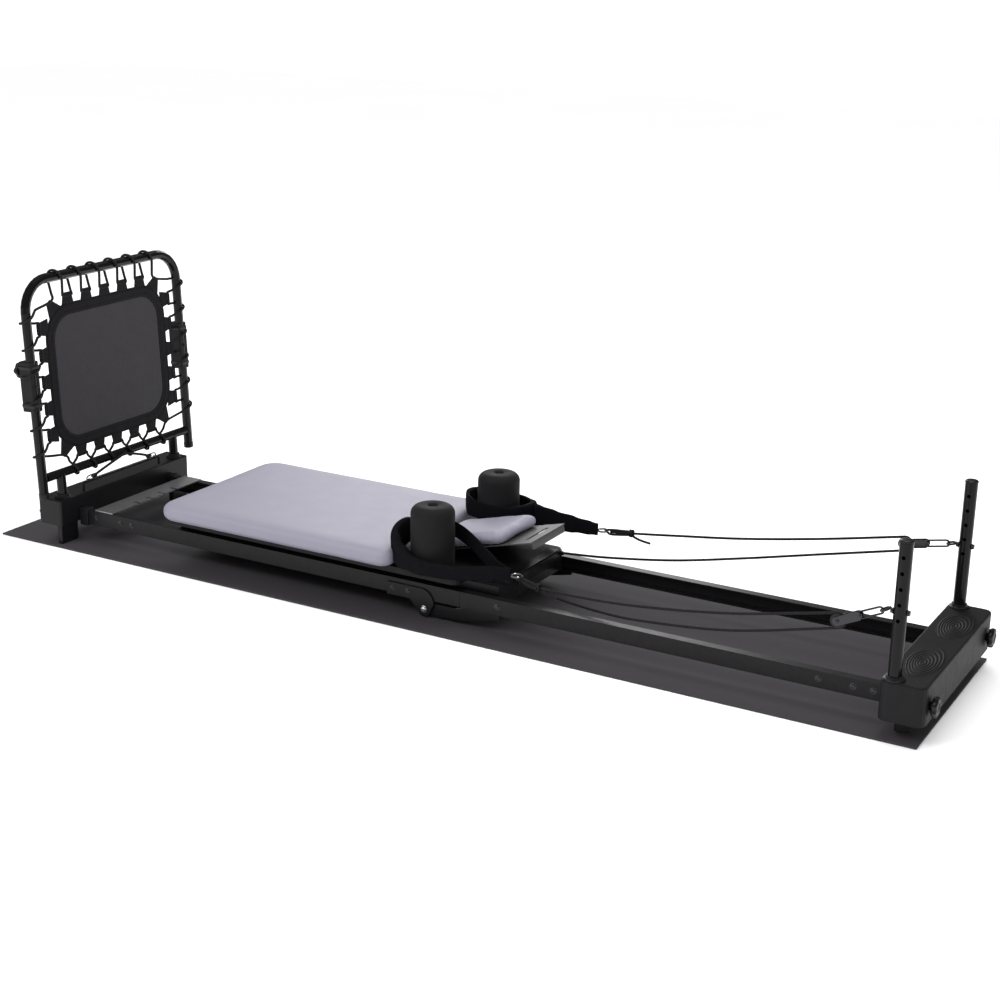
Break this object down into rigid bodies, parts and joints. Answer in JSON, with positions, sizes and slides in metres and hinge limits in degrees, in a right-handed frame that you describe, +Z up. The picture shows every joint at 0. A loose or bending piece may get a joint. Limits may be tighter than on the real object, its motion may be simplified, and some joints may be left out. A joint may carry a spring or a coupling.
{
  "type": "pilates reformer",
  "caption": "Folding home pilates reformer with a rolling padded carriage, shoulder rests, tilting headrest, rope pulleys on risers and a bungee-laced rebounder.",
  "frame": {"origin": "on the floor mat's underside, on the middle plane, midway between the outer end faces of the foot box and the head block", "axes": "+X from the rebounder end to the pulley end, +Y to the far side, +Z up"},
  "size_m": [2.493, 0.612, 0.7044],
  "materials": {
    "steel": "satin black powder coat",
    "chrome": "bright chrome plate",
    "zinc": "dull zinc plate",
    "dark_steel": "dark oxide plate",
    "plastic": "fine grained black plastic",
    "rubber": "matte black rubber",
    "foam": "smooth closed-cell foam sleeve",
    "mat_vinyl": "pebbled dark grey vinyl foam",
    "upholstery": "soft lilac-grey vinyl upholstery",
    "mesh_fabric": "woven dark mesh",
    "webbing": "padded black webbing",
    "rope": "braided black cord"
  },
  "bodies": {
    "base": {"floor_mat": "mat_vinyl"},
    "foot_half": {"foot_box": "steel", "cord_anchor_plate": "zinc", "hook_bar": "steel", "foot_leg_near": "steel", "foot_leg_far": "steel", "foot_rail_near": "steel", "foot_rail_far": "steel", "hinge_plate_near": "steel", "hinge_plate_far": "steel"},
    "rebounder": {"rebounder_frame": "steel", "rebounder_crossbar": "steel", "rebounder_mat": "mesh_fabric", "rebounder_lacing": "rope", "hold_down_cord": "rope", "side_clamp_near": "plastic", "side_clamp_far": "plastic", "hold_down_hook_near": "plastic", "hold_down_hook_far": "plastic"},
    "star_knob": {"star_knob": "plastic"},
    "head_half": {"head_block": "plastic", "head_rail_near": "steel", "head_rail_far": "steel", "head_foot_near": "rubber", "head_foot_far": "rubber", "hinge_arm_near": "steel", "hinge_arm_far": "steel"},
    "carriage": {"carriage_frame": "steel", "carriage_deck": "plastic", "carriage_pad": "upholstery", "shoulder_rest_near": "foam", "shoulder_rest_far": "foam", "strap_near": "webbing", "strap_far": "webbing", "strap_ring_near": "chrome", "strap_ring_far": "chrome"},
    "headrest": {"headrest_plate": "steel", "headrest_pad": "upholstery"},
    "post_knob_near": {"post_knob_near": "plastic"},
    "centre_wheel_near": {"centre_wheel_near": "rubber"},
    "riser_near": {"riser_near": "steel", "eye_pin_near": "dark_steel", "quick_link_near": "dark_steel", "pulley_block_near": "dark_steel", "rope_near": "rope"},
    "sheave_near": {"sheave_near": "plastic"},
    "riser_knob_near": {"riser_knob_near": "plastic"},
    "carriage_wheel_foot_near": {"carriage_wheel_foot_near": "plastic"},
    "carriage_wheel_head_near": {"carriage_wheel_head_near": "plastic"},
    "post_knob_far": {"post_knob_far": "plastic"},
    "centre_wheel_far": {"centre_wheel_far": "rubber"},
    "riser_far": {"riser_far": "steel", "eye_pin_far": "dark_steel", "quick_link_far": "dark_steel", "pulley_block_far": "dark_steel", "rope_far": "rope"},
    "sheave_far": {"sheave_far": "plastic"},
    "riser_knob_far": {"riser_knob_far": "plastic"},
    "carriage_wheel_foot_far": {"carriage_wheel_foot_far": "plastic"},
    "carriage_wheel_head_far": {"carriage_wheel_head_far": "plastic"}
  },
  "joints": [
    {"name": "frame_fold", "type": "hinge", "parent": "base", "child": "foot_half", "pos_m": [-1.1175, 0, 0.0043], "axis": [0, -1, 0], "range_deg": [0, 30]},
    {"name": "head_half_fold", "type": "hinge", "parent": "foot_half", "child": "head_half", "pos_m": [-0.034, 0, 0.024], "axis": [0, 1, 0], "range_deg": [0, 58]},
    {"name": "carriage_slide", "type": "slide", "parent": "foot_half", "child": "carriage", "axis": [1, 0, 0], "range_m": [0, 0.62], "deforming": ["rope_near", "rope_far"]},
    {"name": "headrest_tilt", "type": "hinge", "parent": "carriage", "child": "headrest", "pos_m": [-0.085, 0, 0.1275], "axis": [0, -1, 0], "range_deg": [-14, 11]},
    {"name": "rebounder_lift", "type": "slide", "parent": "foot_half", "child": "rebounder", "axis": [-0.0471, 0, 0.9989], "range_m": [0, 0.035]},
    {"name": "star_knob_turn", "type": "hinge", "parent": "rebounder", "child": "star_knob", "pos_m": [-1.16462, -0.288, 0.46828], "axis": [0.9989, 0, 0.0471], "continuous": true},
    {"name": "centre_wheel_spin_near", "type": "hinge", "parent": "foot_half", "child": "centre_wheel_near", "pos_m": [-0.034, -0.1695, 0.024], "axis": [0, 1, 0], "continuous": true},
    {"name": "post_knob_turn_near", "type": "hinge", "parent": "foot_half", "child": "post_knob_near", "pos_m": [-1.175, -0.222, 0.0765], "axis": [1, 0, 0], "continuous": true},
    {"name": "riser_lift_near", "type": "slide", "parent": "head_half", "child": "riser_near", "axis": [0, 0, 1], "range_m": [0, 0.05]},
    {"name": "sheave_spin_near", "type": "hinge", "parent": "riser_near", "child": "sheave_near", "pos_m": [0.97784, -0.235, 0.22513], "axis": [0, 1, 0], "continuous": true},
    {"name": "riser_knob_turn_near", "type": "hinge", "parent": "head_half", "child": "riser_knob_near", "pos_m": [1.175, -0.215, 0.076], "axis": [1, 0, 0], "continuous": true},
    {"name": "carriage_wheel_spin_foot_near", "type": "hinge", "parent": "carriage", "child": "carriage_wheel_foot_near", "pos_m": [-0.74, -0.171, 0.0633], "axis": [0, 1, 0], "range_deg": [0, 2640]},
    {"name": "carriage_wheel_spin_head_near", "type": "hinge", "parent": "carriage", "child": "carriage_wheel_head_near", "pos_m": [0.01, -0.171, 0.0633], "axis": [0, 1, 0], "range_deg": [0, 2640]},
    {"name": "centre_wheel_spin_far", "type": "hinge", "parent": "foot_half", "child": "centre_wheel_far", "pos_m": [-0.034, 0.1695, 0.024], "axis": [0, 1, 0], "continuous": true},
    {"name": "post_knob_turn_far", "type": "hinge", "parent": "foot_half", "child": "post_knob_far", "pos_m": [-1.175, 0.222, 0.0765], "axis": [1, 0, 0], "continuous": true},
    {"name": "riser_lift_far", "type": "slide", "parent": "head_half", "child": "riser_far", "axis": [0, 0, 1], "range_m": [0, 0.05]},
    {"name": "sheave_spin_far", "type": "hinge", "parent": "riser_far", "child": "sheave_far", "pos_m": [0.96993, 0.235, 0.24947], "axis": [0, 1, 0], "continuous": true},
    {"name": "riser_knob_turn_far", "type": "hinge", "parent": "head_half", "child": "riser_knob_far", "pos_m": [1.175, 0.215, 0.076], "axis": [1, 0, 0], "continuous": true},
    {"name": "carriage_wheel_spin_foot_far", "type": "hinge", "parent": "carriage", "child": "carriage_wheel_foot_far", "pos_m": [-0.74, 0.171, 0.0633], "axis": [0, 1, 0], "range_deg": [0, 2640]},
    {"name": "carriage_wheel_spin_head_far", "type": "hinge", "parent": "carriage", "child": "carriage_wheel_head_far", "pos_m": [0.01, 0.171, 0.0633], "axis": [0, 1, 0], "range_deg": [0, 2640]}
  ],
  "couplings": [
    {"joint": "head_half_fold", "follows": "frame_fold", "ratio": 1.921},
    {"joint": "carriage_wheel_spin_foot_near", "follows": "carriage_slide", "rad_per_m": 74.074},
    {"joint": "carriage_wheel_spin_head_near", "follows": "carriage_slide", "rad_per_m": 74.074},
    {"joint": "carriage_wheel_spin_foot_far", "follows": "carriage_slide", "rad_per_m": 74.074},
    {"joint": "carriage_wheel_spin_head_far", "follows": "carriage_slide", "rad_per_m": 74.074}
  ]
}
